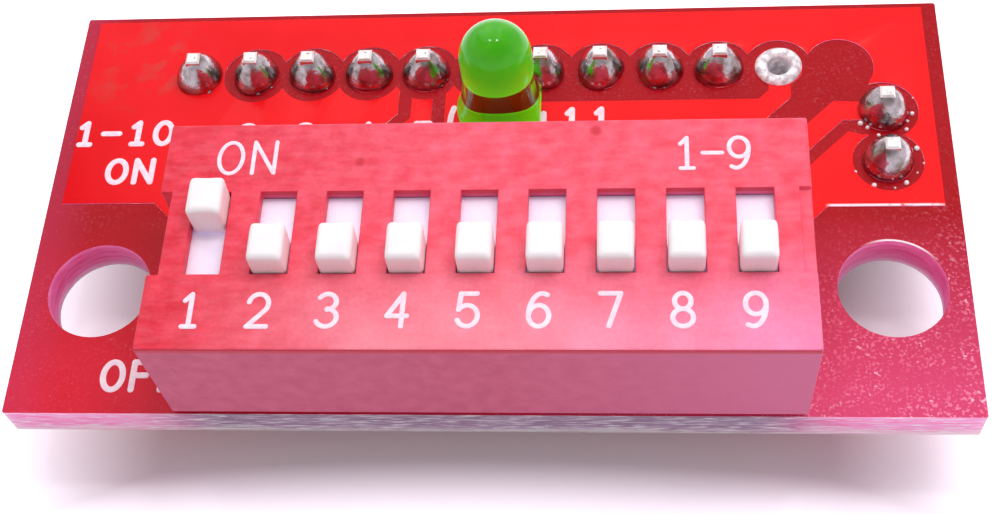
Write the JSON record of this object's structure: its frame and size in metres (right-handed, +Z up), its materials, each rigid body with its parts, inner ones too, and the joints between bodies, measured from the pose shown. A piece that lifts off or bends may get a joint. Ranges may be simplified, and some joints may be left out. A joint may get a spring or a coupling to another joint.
{
  "type": "dip switch module",
  "caption": "Slide DIP switch module: a row of two-position sliders on a small circuit board, with an indicator LED and low socket strips beneath.",
  "frame": {"origin": "midway between the two mounting holes, on the underside of the board", "axes": "+X along the row of sliders, +Y from the switch to the long socket strip, +Z up out of the board"},
  "size_m": [0.038, 0.0197, 0.0113],
  "materials": {
    "board_mask": "gloss",
    "cover_moulding": "satin",
    "base_moulding": "satin",
    "knob_moulding": "satin",
    "gold_plated_spring": "polished",
    "gold_plated_terminal": "satin",
    "strip_moulding": "satin",
    "tin_plated_contact": "satin",
    "green_lens": "gloss",
    "lead_metal": "satin",
    "chip": "gloss",
    "bond_wire": "polished",
    "solder": "satin"
  },
  "bodies": {
    "root": {"board": "board_mask", "switch_cover": "cover_moulding", "switch_base": "base_moulding", "front_terminal_1": "gold_plated_terminal", "front_terminal_2": "gold_plated_terminal", "front_terminal_3": "gold_plated_terminal", "front_terminal_4": "gold_plated_terminal", "front_terminal_5": "gold_plated_terminal", "front_terminal_6": "gold_plated_terminal", "front_terminal_7": "gold_plated_terminal", "front_terminal_8": "gold_plated_terminal", "front_terminal_9": "gold_plated_terminal", "back_terminal_1": "gold_plated_terminal", "back_terminal_2": "gold_plated_terminal", "back_terminal_3": "gold_plated_terminal", "back_terminal_4": "gold_plated_terminal", "back_terminal_5": "gold_plated_terminal", "back_terminal_6": "gold_plated_terminal", "back_terminal_7": "gold_plated_terminal", "back_terminal_8": "gold_plated_terminal", "back_terminal_9": "gold_plated_terminal", "header_strip": "strip_moulding", "pair_strip": "strip_moulding", "header_contact_1": "tin_plated_contact", "header_contact_2": "tin_plated_contact", "header_contact_3": "tin_plated_contact", "header_contact_4": "tin_plated_contact", "header_contact_5": "tin_plated_contact", "header_contact_6": "tin_plated_contact", "header_contact_7": "tin_plated_contact", "header_contact_8": "tin_plated_contact", "header_contact_9": "tin_plated_contact", "header_contact_10": "tin_plated_contact", "pair_contact_1": "tin_plated_contact", "pair_contact_2": "tin_plated_contact", "led_lens": "green_lens", "led_anode_post": "lead_metal", "led_cathode_post": "lead_metal", "led_chip": "chip", "led_bond_wire": "bond_wire", "solder_top": "solder", "solder_bottom": "solder"},
    "way_1": {"slider_1": "knob_moulding", "contact_spring_1": "gold_plated_spring"},
    "way_2": {"slider_2": "knob_moulding", "contact_spring_2": "gold_plated_spring"},
    "way_3": {"slider_3": "knob_moulding", "contact_spring_3": "gold_plated_spring"},
    "way_4": {"slider_4": "knob_moulding", "contact_spring_4": "gold_plated_spring"},
    "way_5": {"slider_5": "knob_moulding", "contact_spring_5": "gold_plated_spring"},
    "way_6": {"slider_6": "knob_moulding", "contact_spring_6": "gold_plated_spring"},
    "way_7": {"slider_7": "knob_moulding", "contact_spring_7": "gold_plated_spring"},
    "way_8": {"slider_8": "knob_moulding", "contact_spring_8": "gold_plated_spring"},
    "way_9": {"slider_9": "knob_moulding", "contact_spring_9": "gold_plated_spring"}
  },
  "joints": [
    {"name": "way_1_slide", "type": "slide", "parent": "root", "child": "way_1", "axis": [0, 1, 0], "range_m": [-0.002, 0]},
    {"name": "way_2_slide", "type": "slide", "parent": "root", "child": "way_2", "axis": [0, 1, 0], "range_m": [0, 0.002]},
    {"name": "way_3_slide", "type": "slide", "parent": "root", "child": "way_3", "axis": [0, 1, 0], "range_m": [0, 0.002]},
    {"name": "way_4_slide", "type": "slide", "parent": "root", "child": "way_4", "axis": [0, 1, 0], "range_m": [0, 0.002]},
    {"name": "way_5_slide", "type": "slide", "parent": "root", "child": "way_5", "axis": [0, 1, 0], "range_m": [0, 0.002]},
    {"name": "way_6_slide", "type": "slide", "parent": "root", "child": "way_6", "axis": [0, 1, 0], "range_m": [0, 0.002]},
    {"name": "way_7_slide", "type": "slide", "parent": "root", "child": "way_7", "axis": [0, 1, 0], "range_m": [0, 0.002]},
    {"name": "way_8_slide", "type": "slide", "parent": "root", "child": "way_8", "axis": [0, 1, 0], "range_m": [0, 0.002]},
    {"name": "way_9_slide", "type": "slide", "parent": "root", "child": "way_9", "axis": [0, 1, 0], "range_m": [0, 0.002]}
  ]
}
